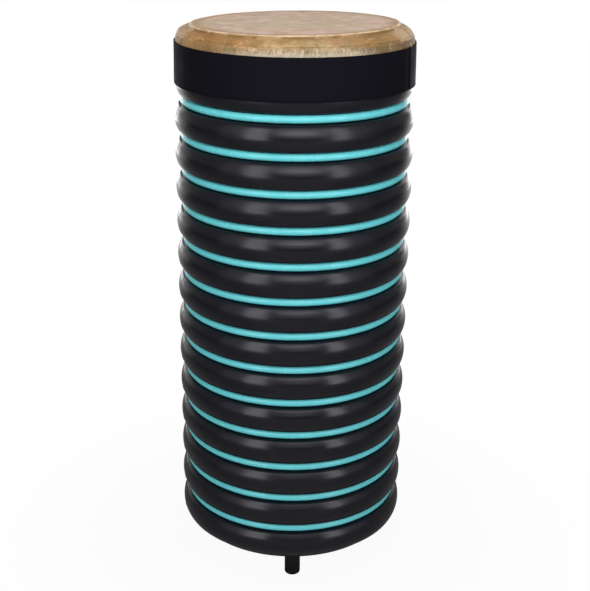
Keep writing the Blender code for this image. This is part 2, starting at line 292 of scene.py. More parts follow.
class Finish:
    """A material with a Principled shader, and short calls for the nodes that feed it."""

    def __init__(self, name, sockets):
        self.material = bpy.data.materials.new(name)
        self.material.use_nodes = True
        self.tree = self.material.node_tree
        self.shader = self.tree.nodes["Principled BSDF"]
        self.place = self.tree.nodes.new("ShaderNodeTexCoord").outputs["Object"]
        for socket, value in sockets.items():
            self.feed(self.shader.inputs[socket], value)

    def feed(self, socket, value):
        """Link another node's socket to this one, or set it to a plain value."""
        if isinstance(value, bpy.types.NodeSocket):
            self.tree.links.new(value, socket)
        else:
            socket.default_value = value

    def node(self, kind, inputs, output=0, **settings):
        made = self.tree.nodes.new(kind)
        for name, value in settings.items():
            setattr(made, name, value)
        for name, value in inputs.items():
            self.feed(made.inputs[name], value)
        return made.outputs[output]

    def axis(self, number):
        """The place on the piece along X, Y or Z."""
        return self.node("ShaderNodeSeparateXYZ", {"Vector": self.place}, output=number)

    def stretched(self, scale, turn=0.0):
        """The place on the piece, scaled along X, Y and Z after a turn about Z."""
        return self.node("ShaderNodeMapping", {"Vector": self.place, "Scale": scale,
                                               "Rotation": (0.0, 0.0, turn)})

    def angle_round(self):
        """Degrees round the drum from the front leg, towards +X."""
        forward = self.maths("MULTIPLY", self.axis(1), -1.0)
        return self.maths("DEGREES", self.maths("ARCTAN2", self.axis(0), forward))

    def noise(self, scale, detail=3.0, rough=0.5, place=None, distortion=0.0):
        return self.node("ShaderNodeTexNoise", {"Vector": place or self.place, "Scale": scale,
                                                "Detail": detail, "Roughness": rough,
                                                "Distortion": distortion})

    def ramp(self, value, low, high, to_low=0.0, to_high=1.0):
        """A value eased from the range low to high onto another range, and held outside it."""
        return self.node("ShaderNodeMapRange", {"Value": value, "From Min": low, "From Max": high,
                                                "To Min": to_low, "To Max": to_high},
                         interpolation_type="SMOOTHSTEP")

    def maths(self, operation, *values):
        return self.node("ShaderNodeMath", dict(enumerate(values)), operation=operation)

    def stops(self, value, tones):
        """The colour at a value, from a list of values with their colours."""
        low, high = tones[0][0], tones[-1][0]
        made = self.tree.nodes.new("ShaderNodeValToRGB")
        elements = made.color_ramp.elements
        for at, _ in tones[1:-1]:
            elements.new((at - low) / (high - low))
        for element, (_, colour) in zip(elements, tones):
            element.color = tone(*colour)
        self.feed(made.inputs[0], self.maths("DIVIDE", self.maths("SUBTRACT", value, low), high - low))
        return made.outputs[0]

    def mix(self, share, first, second):
        return self.node("ShaderNodeMix", {0: share, 6: first, 7: second}, output=2, data_type="RGBA")

    def layers(self, colour, *steps):
        """Lay tones over a colour: pattern, its values from and to, shares at the two, tone."""
        for pattern, low, high, at_low, at_high, over in steps:
            colour = self.mix(self.ramp(pattern, low, high, at_low, at_high), colour, tone(*over))
        return colour

    def bump(self, height, distance, before=None):
        inputs = {"Height": height, "Distance": distance}
        if before:
            inputs["Normal"] = before
        return self.node("ShaderNodeBump", inputs)

    def set(self, **sockets):
        """Feed the shader's own sockets, named in lower case."""
        for socket, value in sockets.items():
            self.feed(self.shader.inputs[socket.replace("_", " ").title()], value)


def pipe_finish():
    """Black moulded polyethylene: faint drawn lines round the pipe, and a slight orange peel."""
    look = Finish("pipe_black", {"Specular IOR Level": 0.5, "Specular Tint": (0.96, 0.93, 1.0, 1.0)})
    lines = look.noise(1.0, 4.0, 0.6, look.stretched((5.0, 5.0, 420.0)))
    peel = look.noise(750.0, 2.0)
    patches = look.noise(14.0, 3.0)
    deep, worn = (0.0034, 0.0036, 0.0066, 1.0), (0.0050, 0.0051, 0.0088, 1.0)
    look.set(base_color=look.mix(patches, deep, worn))
    wear = look.maths("ADD", look.ramp(patches, 0.3, 0.7, 0.0, 0.06), look.ramp(lines, 0.3, 0.7, 0.0, 0.05))
    look.set(roughness=look.maths("ADD", wear, 0.18))
    look.set(normal=look.bump(peel, 0.00002, look.bump(lines, 0.00005)))
    return look.material


def cord_finish():
    """Glossy turquoise plastic cord."""
    look = Finish("cord_turquoise", {"Specular IOR Level": 0.5})
    cloud = look.noise(60.0, 3.0)
    grain = look.noise(1400.0, 2.0)
    deep, pale = (0.132, 0.62, 0.675, 1.0), (0.157, 0.71, 0.765, 1.0)
    look.set(base_color=look.mix(cloud, deep, pale))
    look.set(roughness=look.ramp(cloud, 0.3, 0.7, 0.2, 0.3))
    look.set(normal=look.bump(grain, 0.00002))
    return look.material


# Along X over the skin's width: metres from the middle, colour
SHOULDER_TONES = ((-0.116, (200, 172, 140)), (-0.098, (174, 132, 84)), (-0.076, (152, 108, 64)),
                  (-0.036, (172, 140, 100)), (0.034, (172, 146, 108)), (0.074, (136, 108, 72)),
                  (0.100, (156, 120, 80)), (0.120, (200, 172, 140)))
HAIRY_EDGE_TONES = ((-0.110, (166, 130, 86)), (-0.076, (142, 112, 68)), (-0.034, (172, 150, 120)),
                    (0.034, (180, 164, 140)), (0.076, (116, 100, 74)), (0.100, (122, 98, 70)))


def skin_finish():
    """Goat skin: pinkish and streaked on the face, golden brown on the shoulder, speckled by the band."""
    look = Finish("goat_skin", {"Specular IOR Level": 0.3})
    across, back, height = (look.axis(number) for number in range(3))
    flat = look.node("ShaderNodeVectorMath", {0: look.place, 1: (1.0, 1.0, 0.0)}, operation="MULTIPLY")
    radius = look.node("ShaderNodeVectorMath", {0: flat}, output=1, operation="LENGTH")
    depth = look.maths("SUBTRACT", HEAD_TOP, height)
    # Depth below the playing face as it really lies, a little out of true
    tilt = look.maths("SUBTRACT", look.maths("MULTIPLY", across, SIDE_RISE / CREST_RADIUS),
                      look.maths("MULTIPLY", back, FRONT_RISE / CREST_RADIUS))
    below_face = look.maths("ADD", look.maths("ADD", depth, FACE_RISE), tilt)

    fibres = look.noise(1.0, 5.0, 0.6, look.stretched((30.0, 90.0, 60.0), 0.5), 0.8)
    clouds = look.noise(17.0, 4.0, 0.55, distortion=0.5)
    patches = look.noise(34.0, 4.0, 0.6, distortion=0.3)
    blotches = look.noise(58.0, 3.0, 0.55, distortion=0.6)
    flecks = look.noise(1.0, 4.0, 0.62, look.stretched((90.0, 90.0, 260.0)), 0.7)
    strands = look.noise(1.0, 4.0, 0.6, look.stretched((330.0, 330.0, 110.0)), 0.6)
    speckle = look.noise(520.0, 3.0, 0.65)

    def ring(line, at, reach):
        """1 where a line has a value, fading to 0 at a reach from it."""
        off = look.maths("ABSOLUTE", look.maths("SUBTRACT", line, at))
        return look.maths("SUBTRACT", 1.0, look.ramp(off, 0.0, reach))

    rim = look.maths("ADD", radius, look.maths("MULTIPLY", patches, 0.012))
    face = look.mix(look.ramp(clouds, 0.42, 0.58), tone(208, 188, 158), tone(224, 190, 176))
    face = look.layers(face,
                       (patches, 0.5, 0.6, 0.0, 0.65, (196, 166, 146)),
                       (blotches, 0.36, 0.46, 0.7, 0.0, (226, 206, 192)),
                       (blotches, 0.54, 0.64, 0.0, 0.6, (194, 174, 142)),
                       (fibres, 0.5, 0.7, 0.0, 0.35, (184, 158, 134)),
                       (rim, 0.094, 0.112, 0.0, 0.9, (180, 148, 112)))

    # The shoulder and the hairy edge are palest in front and orange brown to its left
    shifted = look.maths("ADD", across, look.ramp(clouds, 0.3, 0.7, -0.014, 0.014))
    side = look.layers(look.stops(shifted, SHOULDER_TONES),
                       (patches, 0.52, 0.64, 0.0, 0.4, (176, 118, 68)),
                       (blotches, 0.5, 0.6, 0.0, 0.5, (146, 116, 66)),
                       (flecks, 0.52, 0.64, 0.0, 0.5, (128, 98, 56)),
                       (flecks, 0.34, 0.44, 0.6, 0.0, (206, 172, 122)))
    edge = look.layers(look.stops(shifted, HAIRY_EDGE_TONES),
                       (blotches, 0.48, 0.58, 0.0, 0.6, (116, 98, 58)))
    middle = look.ramp(look.maths("ABSOLUTE", across), 0.04, 0.08, 1.0, 0.0)
    dark = look.maths("MULTIPLY", look.ramp(strands, 0.5, 0.64, 0.0, 0.7),
                      look.ramp(middle, 0.0, 1.0, 0.25, 1.0))
    edge = look.mix(dark, edge, tone(104, 82, 50))
    pale = look.maths("MULTIPLY", look.ramp(strands, 0.34, 0.46, 0.7, 0.0), middle)
    edge = look.mix(pale, edge, tone(206, 188, 156))
    lowest = look.maths("MULTIPLY", look.maths("MULTIPLY", middle, 0.6), look.ramp(depth, 0.0125, 0.016))
    edge = look.mix(lowest, edge, tone(192, 184, 168))

    # A flecked painted highlight on the crest round the face, painted shade in the dip under it, and painted
    # shade in the groove where the skin bends down
    colour = look.mix(look.ramp(below_face, 0.0004, 0.0016), face, side)
    at_rim = look.ramp(radius, CREST_RADIUS - 0.0055, CREST_RADIUS - 0.0025)
    # Painted highlight: pale flecks along the crest where its rounding catches the light
    painted_highlight = look.maths("MULTIPLY", at_rim, look.ramp(flecks, 0.43, 0.59, 0.95, 0.1))
    crest_highlight = look.maths("MULTIPLY", ring(below_face, 0.0004, 0.0008), painted_highlight)
    colour = look.mix(crest_highlight, colour, tone(240, 216, 182))
    # Painted shade: a dark brown line in the dip just under the crest
    under_crest_shade = look.maths("MULTIPLY", ring(below_face, 0.0024, 0.0014),
                             look.ramp(blotches, 0.42, 0.56, 0.0, 0.75))
    colour = look.mix(under_crest_shade, colour, tone(112, 84, 48))
    # Painted shade: a dark brown line in the groove where the skin bends down
    groove_shade = look.maths("MULTIPLY", ring(depth, GROOVE_DEPTH, 0.0013), look.ramp(flecks, 0.4, 0.6, 0.1, 0.6))
    colour = look.mix(groove_shade, colour, tone(104, 80, 46))
    ragged = look.maths("ADD", depth, look.maths("MULTIPLY", flecks, 0.006))
    colour = look.mix(look.ramp(ragged, HAIR_ZONE[0] + 0.002, HAIR_ZONE[0] + 0.0055), colour, edge)
    look.set(base_color=colour)
    look.set(roughness=look.ramp(fibres, 0.3, 0.7, 0.48, 0.64))
    look.set(normal=look.bump(speckle, 0.00012, look.bump(fibres, 0.0002, look.bump(patches, 0.0005))))
    return look.material


def hair_finish():
    """Short goat hair, pale with darker strands."""
    look = Finish("goat_hair", {"Specular IOR Level": 0.4, "Roughness": 0.5})
    strand = look.noise(900.0, 2.0)
    look.set(base_color=look.mix(look.ramp(strand, 0.35, 0.65), tone(176, 150, 110), tone(236, 222, 196)))
    return look.material


LAP_HIGHLIGHT_FROM = (65.6, 66.4)          # angles round the drum over which the painted highlight on the lap starts
LAP_HIGHLIGHT_TO = (73.0, 80.0, 1.0, 0.0)  # and ends, with its share at both


def band_finish():
    """Matt black strap with a fine pebbled face, and a painted highlight in grey streaks on the lap."""
    look = Finish("strap_black", {"Specular IOR Level": 0.06})
    pebble = look.node("ShaderNodeTexVoronoi", {"Vector": look.place, "Scale": 900.0})
    patches = look.noise(22.0, 4.0)
    black = look.mix(patches, (0.0037, 0.0036, 0.0066, 1.0), (0.0063, 0.0059, 0.0097, 1.0))
    # Painted highlight: grey streaks on the lap, where its raised layer catches the light
    lap = look.maths("MULTIPLY", look.ramp(look.angle_round(), *LAP_HIGHLIGHT_FROM),
                     look.ramp(look.angle_round(), *LAP_HIGHLIGHT_TO))
    highlight_streaks = look.noise(1.0, 3.0, 0.6, look.stretched((150.0, 150.0, 22.0)))
    painted_highlight = look.mix(look.ramp(highlight_streaks, 0.42, 0.58),
                      (0.007, 0.0065, 0.011, 1.0), (0.032, 0.030, 0.037, 1.0))
    look.set(base_color=look.mix(lap, black, painted_highlight))
    look.set(roughness=look.ramp(patches, 0.3, 0.7, 0.62, 0.78))
    look.set(normal=look.bump(patches, 0.0004, look.bump(pebble, 0.00005)))
    return look.material


def leg_finish():
    """Black satin rod, drawn lengthwise."""
    look = Finish("leg_black", {"Specular IOR Level": 0.2})
    drawn = look.noise(1.0, 4.0, 0.6, look.stretched((600.0, 600.0, 12.0)))
    look.set(base_color=look.mix(drawn, (0.005, 0.005, 0.006, 1.0), (0.009, 0.009, 0.010, 1.0)))
    look.set(roughness=look.ramp(drawn, 0.3, 0.7, 0.32, 0.48))
    look.set(normal=look.bump(drawn, 0.00003))
    return look.material


def rubber_finish():
    """Black rubber with a little dust."""
    look = Finish("tip_rubber", {"Specular IOR Level": 0.15})
    dust = look.noise(160.0, 4.0, 0.65)
    grain = look.noise(1800.0, 2.0)
    clean, dusty = (0.006, 0.006, 0.007, 1.0), (0.014, 0.013, 0.013, 1.0)
    look.set(base_color=look.mix(look.ramp(dust, 0.5, 0.75), clean, dusty))
    look.set(roughness=look.ramp(dust, 0.3, 0.7, 0.5, 0.68))
    look.set(normal=look.bump(grain, 0.00004))
    return look.material


def lashing_finish():
    """Undyed twisted yarn."""
    look = Finish("lashing_yarn", {"Specular IOR Level": 0.3, "Roughness": 0.85})
    yarn = look.noise(1300.0, 3.0, 0.6)
    look.set(base_color=look.mix(yarn, tone(150, 140, 118), tone(206, 196, 172)))
    look.set(normal=look.bump(yarn, 0.0002))
    return look.material


def zinc_finish():
    """Zinc-plated steel with faint turning marks."""
    look = Finish("screw_zinc", {"Metallic": 1.0})
    turned_marks = look.noise(1600.0, 3.0, 0.6)
    look.set(base_color=look.mix(turned_marks, (0.50, 0.50, 0.52, 1.0), (0.68, 0.68, 0.70, 1.0)))
    look.set(roughness=look.ramp(turned_marks, 0.3, 0.7, 0.25, 0.42))
    look.set(normal=look.bump(turned_marks, 0.00003))
    return look.material


# Pipe

def valley_z(number):
    """Height of a valley's middle; the lowest cord lies in valley 1."""
    return CORD_HEIGHTS[-1] + (number - 1) * RIB_PITCH


def crown_radius(rib):
    """A rib's outer radius; ribs are numbered from 0 at the bottom."""
    return RIB_RADIUS - RIB_SKIMS.get(rib, 0.0)


def rib_point(rib, turn):
    """A point of a rib's elliptical section, at an angle from its crown, upwards positive."""
    squash = HIDDEN_RIB_SQUASH if rib == RIB_COUNT - 1 and turn > 0 else 1.0
    return (crown_radius(rib) - RIB_ROUNDING * (1 - math.cos(turn)),
            valley_z(rib) + HALF_PITCH + HALF_PITCH * math.sin(turn) * squash)


def rib_line(rib, top, bottom):
    """Points down a rib's outer side between two angles from its crown."""
    return [rib_point(rib, top + (bottom - top) * i / RIB_STEPS) for i in range(RIB_STEPS + 1)]


def valley_line(number, edge):
    """The valley's sides and floor below a rib, with softened edges."""
    height = valley_z(number)
    top, bottom = height + VALLEY_HALF_WIDTH, height - VALLEY_HALF_WIDTH
    above, below = rib_point(number, -edge), rib_point(number - 1, edge)
    floor = [(VALLEY_RADIUS, top), (VALLEY_RADIUS, bottom)]
    before, after = rib_point(number, -edge * EDGE_SHARE), rib_point(number - 1, edge * EDGE_SHARE)
    return (soft_corner(before, above, floor[0], MOUTH_SOFTNESS, 6)
            + soft_corner(above, floor[0], floor[1], FLOOR_SOFTNESS, 2)
            + soft_corner(floor[0], floor[1], below, FLOOR_SOFTNESS, 2)
            + soft_corner(floor[1], below, after, MOUTH_SOFTNESS, 6))


def ribbed_outside():
    """The wall's outer side, from the top down."""
    edge = math.asin(1 - (VALLEY_HALF_WIDTH + VALLEY_DRAFT) / HALF_PITCH)
    kept = edge * RIB_SHARE
    top_rib = RIB_COUNT - 1
    cut = math.asin((OUTER_WALL_TOP - valley_z(top_rib) - HALF_PITCH) / HALF_PITCH / HIDDEN_RIB_SQUASH)
    points = rib_line(top_rib, cut, -kept)
    for rib in reversed(range(top_rib)):
        points += valley_line(rib + 1, edge)
        points += rib_line(rib, kept, -kept)
    bottom = SHELL_LOW[2]
    foot = (VALLEY_RADIUS, valley_z(0) + VALLEY_HALF_WIDTH)
    points += soft_corner(rib_point(0, -edge * EDGE_SHARE), rib_point(0, -edge), foot, MOUTH_SOFTNESS, 6)
    return points + [foot, (VALLEY_RADIUS, bottom + 0.0002), (VALLEY_RADIUS - 0.0002, bottom)]


def ribbed_inside():
    """The wall's inner side, from the bottom up, with each rib's hollow."""
    foot_half = HALF_PITCH - VALLEY_HALF_WIDTH - WALL
    points = [(OUTER_WALL_INSIDE, SHELL_LOW[2])]
    for rib in range(RIB_COUNT):
        crown = valley_z(rib) + HALF_PITCH
        roof = rib_point(rib, math.asin(HOLLOW_HALF_WIDTH / HALF_PITCH))[0] - WALL
        points += [(OUTER_WALL_INSIDE, crown - foot_half), (roof, crown - HOLLOW_HALF_WIDTH),
                   (roof, crown + HOLLOW_HALF_WIDTH), (OUTER_WALL_INSIDE, crown + foot_half)]
    return points + [(OUTER_WALL_INSIDE, OUTER_WALL_TOP)]


def pipe_angles():
    """Even steps round the pipe, and closer ones at the mould's seams."""
    angles = [360.0 * i / ROUND_STEPS for i in range(ROUND_STEPS)]
    for seam in MOULD_SEAMS:
        angles = [a for a in angles if abs(a - seam) > 2.5 * SEAM_HALF_WIDTH]
        angles += [seam + SEAM_HALF_WIDTH * s for s in (-2.0, -1.0, -0.45, 0.0, 0.45, 1.0, 2.0)]
    return sorted(angles)


def add_pipe(material):
    """The ribbed outer wall with its mould seams, and the faintly rippled liner in it."""
    outside, inside = ribbed_outside(), ribbed_inside()

    def shape(angle, radius, height, number):
        if number >= len(outside) or radius < VALLEY_RADIUS + 0.002:
            return radius, height
        place = around(angle, 1.0, height * 22)
        radius += PIPE_UNEVENNESS * noise.noise(place * 2.2)
        for seam in MOULD_SEAMS:
            off = (angle - seam) / SEAM_HALF_WIDTH
            radius += SEAM_HEIGHT * math.exp(-off * off * 1.6)
        return min(radius, RIB_RADIUS), height

    wall = turned("ribbed_pipe_wall", outside + inside, material, pipe_angles(), shape=shape)
    drill(wall, SCREW_HEAD_RADIUS + CLEARANCE, OUTER_WALL_INSIDE - DRILL_REACH, VALLEY_RADIUS + DRILL_REACH)
    stands_for(wall, "shell_outer_wall")

    bottom, low, high = LINER_LOW[2], LINER_LOW[2] + LINER_LIP, LINER_TOP - LINER_LIP
    bore = [(LINER_INSIDE, low + (high - low) * i / LINER_STEPS) for i in range(LINER_STEPS + 1)]
    skirt = [(LINER_OUTSIDE, high), (LINER_OUTSIDE, low)]
    ends = [(LINER_OUTSIDE - LINER_LIP, bottom), (LINER_INSIDE + LINER_LIP, bottom)]
    tops = [(LINER_INSIDE + LINER_LIP, LINER_TOP), (LINER_OUTSIDE - LINER_LIP, LINER_TOP)]

    def ripple(angle, radius, height, number):
        if abs(radius - LINER_INSIDE) > 0.00001:
            return radius, height
        wave = math.cos(math.tau * (height - valley_z(0)) / RIB_PITCH)
        return radius + LINER_RIPPLE * (1 - wave), height

    liner = turned("smooth_pipe_liner", skirt + ends + bore + tops, material, shape=ripple)
    drill(liner, SCREW_SHANK_RADIUS + CLEARANCE, LINER_INSIDE - 3 * DRILL_REACH, LINER_OUTSIDE + DRILL_REACH)
    stands_for(liner, "shell_inner_liner")


def screw_heights():
    """Heights of the two screws in each leg."""
    boxes = [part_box(f"leg_screw_front_{level}") for level in ("lower", "upper")]
    return [(low[2] + high[2]) / 2 for low, high in boxes]


def drill(piece, radius, inner, outer):
    """Cut round holes at the leg screws, from an inner to an outer radius."""
    work = bmesh.new()
    for angle in LEG_SIDES.values():
        for height in screw_heights():
            start, end = around(angle, inner, height), around(angle, outer, height)
            turn = (end - start).to_track_quat("Z", "Y").to_matrix().to_4x4()
            place = Matrix.Translation((start + end) / 2) @ turn
            bmesh.ops.create_cone(work, cap_ends=True, segments=24, radius1=radius, radius2=radius,
                                  depth=(end - start).length, matrix=place)
    mesh = bpy.data.meshes.new("drill")
    work.to_mesh(mesh)
    work.free()
    cutter = bpy.data.objects.new("drill", mesh)
    bpy.context.scene.collection.objects.link(cutter)
    cut = piece.modifiers.new("screw_holes", "BOOLEAN")
    cut.operation = "DIFFERENCE"
    cut.solver = "MANIFOLD"
    cut.object = cutter
    bpy.context.view_layer.update()
    done = bpy.data.meshes.new_from_object(piece.evaluated_get(bpy.context.evaluated_depsgraph_get()))
    piece.modifiers.clear()
    piece.data = done
    bpy.data.objects.remove(cutter, do_unlink=True)


# Cords

def ring_sweep(name, material, start, end, steps, section, centre):
    """Sweep a closed section of (outward, up) points along an arc round the drum, with flat ends."""
    verts, faces = [], []
    count = 0
    for i in range(steps + 1):
        angle = start + (end - start) * i / steps
        radius, height = centre(angle)
        ring = section(angle)
        count = len(ring)
        verts += [around(angle, radius + out, height + up) for out, up in ring]
    for i in range(steps):
        for a in range(count):
            b = (a + 1) % count
            faces.append((i * count + a, i * count + b, (i + 1) * count + b, (i + 1) * count + a))
    faces.append(tuple(reversed(range(count))))
    faces.append(tuple(range(steps * count, (steps + 1) * count)))
    return add_mesh(name, verts, faces, material, 50.0)


def add_cords(material):
    """One round cord in each valley, its cut ends butted at the back."""
    pick = random.Random(CORD_SEED)
    for number, height in enumerate(CORD_HEIGHTS, start=1):
        joint = 180.0 + pick.uniform(-JOINT_SPREAD, JOINT_SPREAD)
        gap = math.degrees(JOINT_HALF_GAP / CORD_CENTRE)
        phase = pick.uniform(0.0, 50.0)

        def centre(angle, height=height, phase=phase):
            out, up = noise.noise(around(angle, 1.3, phase)), noise.noise(around(angle, 1.1, -phase))
            return CORD_CENTRE + CORD_DRIFT * out, height + CORD_DRIFT * up

        def section(angle, joint=joint, gap=gap):
            end_off = min(abs(angle - joint - gap), abs(joint + 360.0 - gap - angle))
            size = (CORD_RADIUS + CORD_SWELL) * (1 - JOINT_SQUEEZE * (1 - smoothstep(0.0, 0.2, end_off)))
            turns = [math.tau * i / CORD_SIDES for i in range(CORD_SIDES)]
            return [(size * math.cos(t), size * math.sin(t)) for t in turns]

        cord = ring_sweep(f"turquoise_cord_{number:02d}", material, joint + gap, joint + 360.0 - gap,
                          ROUND_STEPS + 16, section, centre)
        stands_for(cord, f"colour_cord_{number:02d}")


# Head

def skin_outline():
    """The skin's outer line, from the middle of the face down to its lashed end under the band."""
    face = [(SKIN_SHOULDER[0][0] * i / FACE_RINGS, HEAD_TOP) for i in range(FACE_RINGS)]
    shoulder = [(r, HEAD_TOP - depth) for r, depth in through(SKIN_SHOULDER, SHOULDER_SPANS)]
    over = CLEARANCE + SKIN_THICKNESS
    top_rib = RIB_COUNT - 1
    valley = valley_z(top_rib)
    on_rib = [rib_point(top_rib, math.radians(-turn)) for turn in COLLAR_TURNS]
    wall_edge = rib_point(top_rib, math.radians(-COLLAR_EDGE_TURN))[0]
    low, high = valley - VALLEY_HALF_WIDTH + over, valley + VALLEY_HALF_WIDTH - over
    collar = [(r + over, z) for r, z in on_rib]
    collar += [(wall_edge, high), (VALLEY_RADIUS + over, high), (VALLEY_RADIUS + over, low),
               (SKIN_END_RADIUS, low)]
    return face + shoulder + collar


def skin_shape(angle, radius, height, number):
    """Small unevenness of a dried skin, most on its shoulder and least where pieces lie against it."""
    depth = HEAD_TOP - height
    round_place = around(angle, 1.0, 0.0)
    out = radius / CREST_RADIUS
    uneven = 1 - smoothstep(0.002, 0.008, depth)
    height += uneven * (FACE_RISE - out * FRONT_RISE * round_place.y + out * SIDE_RISE * round_place.x)
    radius += uneven * out * (FACE_SHIFT * round_place.x - FACE_NARROWING)
    loose = smoothstep(0.0008, 0.003, depth) * (1 - smoothstep(0.0155, 0.0175, depth))
    radius += loose * sum(reach * noise.noise(round_place * waves + Vector((0.0, 0.0, depth * rows)))
                          for reach, waves, rows in SKIN_WAVES)
    if depth < 0.006:
        rim = smoothstep(0.090, 0.108, radius) * (1 - smoothstep(0.112, 0.118, radius))
        height -= rim * RIM_SAG * (1 + noise.noise(round_place * 7.0))
        height -= FACE_UNEVENNESS * (1 + noise.noise(Vector((*around(angle, radius * 30, 0.0)[:2], 2.0))))
    return radius, height


def add_head_skin(material):
    """The goat skin, from the middle of its face to its lashed end and back along its inner side."""
    outside = skin_outline()
    inside = offset_line(outside, -SKIN_THICKNESS)
    inside[0] = (0.0, inside[0][1])
    skin = turned("goat_skin_head", outside + inside[::-1], material, closed=False, shape=skin_shape,
                  sharp=60.0)
    stands_for(skin, "head_skin")


def add_hair(material):
    """Short hairs left on the skin just above the band, lying mostly downwards."""
    pick = random.Random(HAIR_SEED)
    line = through(SKIN_SHOULDER, SHOULDER_SPANS)
    clumps = [pick.gauss(pick.choice(CLUMP_MIDDLES), CLUMPS_SPREAD) for _ in range(HAIR_CLUMPS)]
    down = Vector((0.0, 0.0, -1.0))
    verts, faces = [], []
    for number in range(HAIR_COUNT):
        depth = HAIR_ZONE[0] + (HAIR_ZONE[1] - HAIR_ZONE[0]) * pick.random() ** 0.55
        radius = next(r for r, d in line if d >= depth)
        angle = pick.choice(clumps) + pick.gauss(0.0, HAIRS_SPREAD)
        if number % STRAY_EVERY == 0:
            angle = pick.uniform(0.0, 360.0)
        root = around(angle, radius - 0.0001, HEAD_TOP - depth)
        out = around(angle, 1.0, 0.0)
        along = Vector((-out.y, out.x, 0.0))
        heading = (down * pick.uniform(0.6, 1.0) + along * pick.uniform(-0.4, 0.4)
                   + out * pick.uniform(0.15, 0.4)).normalized()
        length = pick.uniform(*HAIR_LENGTHS)
        width = pick.uniform(*HAIR_WIDTHS)
        side = heading.cross(out).normalized()
        other = heading.cross(side).normalized()
        start = len(verts)
        bend = root + heading * length * HAIR_BEND
        tip = bend + (heading - out * 0.5).normalized() * length * (1 - HAIR_BEND)
        for middle, size in ((root, width), (bend, width * 0.75)):
            for turn in (0.0, math.tau / 3, 2 * math.tau / 3):
                verts.append(middle + side * math.cos(turn) * size + other * math.sin(turn) * size)
        verts.append(tip)
        faces.append((start, start + 2, start + 1))
        for a in range(3):
            b = (a + 1) % 3
            faces.append((start + a, start + b, start + 3 + b, start + 3 + a))
            faces.append((start + 3 + a, start + 3 + b, start + 6))
    hair = add_mesh("goat_hair_edge", verts, faces, material, 80.0)
    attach(hair, "root")


def add_lashing(material):
    """Three strands twisted round each other, once round the valley under the band."""
    centre = VALLEY_RADIUS + 2 * CLEARANCE + SKIN_THICKNESS + LASHING_RADIUS
    height = valley_z(RIB_COUNT - 1)
    twists, steps, sides, strands = 90, 1080, 6, 3
    strand_radius, lay = LASHING_RADIUS * 0.46, LASHING_RADIUS * 0.53
    verts, faces = [], []
    for strand in range(strands):
        first = len(verts)
        for i in range(steps):
            angle = 360.0 * i / steps
            twist = math.tau * (twists * i / steps + strand / strands)
            for side in range(sides):
                t = math.tau * side / sides
                out = lay * math.cos(twist) + strand_radius * math.cos(t)
                up = lay * math.sin(twist) + strand_radius * math.sin(t)
                verts.append(around(angle, centre + out, height + up))
        for i in range(steps):
            a, b = first + i * sides, first + (i + 1) % steps * sides
            faces += [(a + s, a + (s + 1) % sides, b + (s + 1) % sides, b + s) for s in range(sides)]
    lashing = add_mesh("twisted_lashing", verts, faces, material, 80.0)
    stands_for(lashing, "head_lashing_cord")


def band_inside(height):
    """Radius of the band's inner face: clear of the skin at the top rib, and of the rib below it."""
    top, below = valley_z(RIB_COUNT - 1) + HALF_PITCH, valley_z(RIB_COUNT - 2) + HALF_PITCH
    at_top = crown_radius(RIB_COUNT - 1) + 2 * CLEARANCE + SKIN_THICKNESS
    at_next = crown_radius(RIB_COUNT - 2) + CLEARANCE
    return at_top + (top - height) / (top - below) * (at_next - at_top)


def add_band(material):
    """A strap once round the head, its outer end lapped over its inner end."""
    low, high = BAND_LOW[2], BAND_HIGH[2] + HEAD_RISE
    tall = high - low - 2 * BAND_EDGE
    heights = [high - BAND_EDGE - tall * i / BAND_ROWS for i in range(BAND_ROWS + 1)]
    overlap = BAND_INNER_END - BAND_OUTER_END

    def thickness(angle):
        from_end = min(angle - BAND_OUTER_END, BAND_INNER_END + 360.0 - angle)
        thinning = LAP_THINNING * (1 - smoothstep(overlap, overlap + BAND_SETTLE, from_end))
        return BAND_THICKNESS * (1 - thinning)

    lift = thickness(BAND_OUTER_END) + LAP_GAP
    rounding = BAND_EDGE * 0.8

    def raised(angle):
        return lift * (1 - smoothstep(overlap + 0.6, overlap + BAND_SETTLE, angle - BAND_OUTER_END))

    def centre(angle):
        return raised(angle), 0.0

    def section(angle):
        ring = []
        thick = thickness(angle)
        wave = noise.noise(around(angle, 2.5, 0.4))
        for height in heights:
            dent = BAND_WAVE * noise.noise(around(angle, 3.5, height * 60))
            ring.append((band_inside(height) + thick - BAND_SLIMMING + dent, height))
        bottom, top = low + BAND_WAVE * (1 + wave), high - BAND_WAVE * (1 + wave)
        at_low, at_high = band_inside(low), band_inside(high)
        ring += [(at_low + thick - rounding, bottom), (at_low + rounding, bottom)]
        ring += [(band_inside(height), height) for height in reversed(heights)]
        ring += [(at_high + rounding, top), (at_high + thick - rounding, top)]
        return ring[::-1]

    strap = ring_sweep("head_strap", material, BAND_OUTER_END, BAND_INNER_END + 360.0,
                       2 * ROUND_STEPS, section, centre)
    stands_for(strap, "head_band")


# Legs

